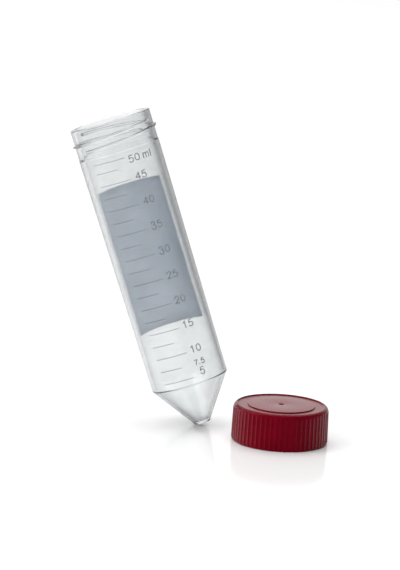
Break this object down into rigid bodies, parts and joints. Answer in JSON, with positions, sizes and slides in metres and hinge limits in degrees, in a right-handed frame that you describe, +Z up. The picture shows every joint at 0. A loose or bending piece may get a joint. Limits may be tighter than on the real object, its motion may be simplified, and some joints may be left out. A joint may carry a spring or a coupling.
{
  "type": "test tube",
  "caption": "Graduated conical-bottom test tube with a threaded neck, a writing panel and its ribbed screw cap lying loose beside the tip.",
  "frame": {"origin": "centre of the flat tip of the tube", "axes": "+Z straight up from the bench; the tube leans 20.2 degrees towards -X and 3.75 degrees towards +Y, its volume scale faces -Y, and the loose cap lies flat on the bench on the +X side"},
  "size_m": [0.0983, 0.0563, 0.1137],
  "materials": {
    "clear_plastic": "injection-moulded translucent polypropylene, glossy",
    "panel_ink": "matt screen-printed ink for writing on",
    "scale_ink": "screen-printed ink",
    "cap_plastic": "moulded polyethylene, satin",
    "liner_foam": "closed-cell polyethylene foam"
  },
  "bodies": {
    "tube": {"tube": "clear_plastic", "writing_panel": "panel_ink", "graduation_marks": "scale_ink", "volume_figures": "scale_ink"},
    "liner": {"seal_liner": "liner_foam"},
    "cap": {"cap_shell": "cap_plastic"}
  },
  "joints": [
    {"name": "cap_lift", "type": "slide", "parent": "tube", "child": "liner", "axis": [0, 0, 1], "range_m": [0, 0.14]},
    {"name": "cap_turn", "type": "hinge", "parent": "liner", "child": "cap", "pos_m": [0.0276, -0.0162, -0.00091], "axis": [0, 0, 1], "continuous": true}
  ]
}
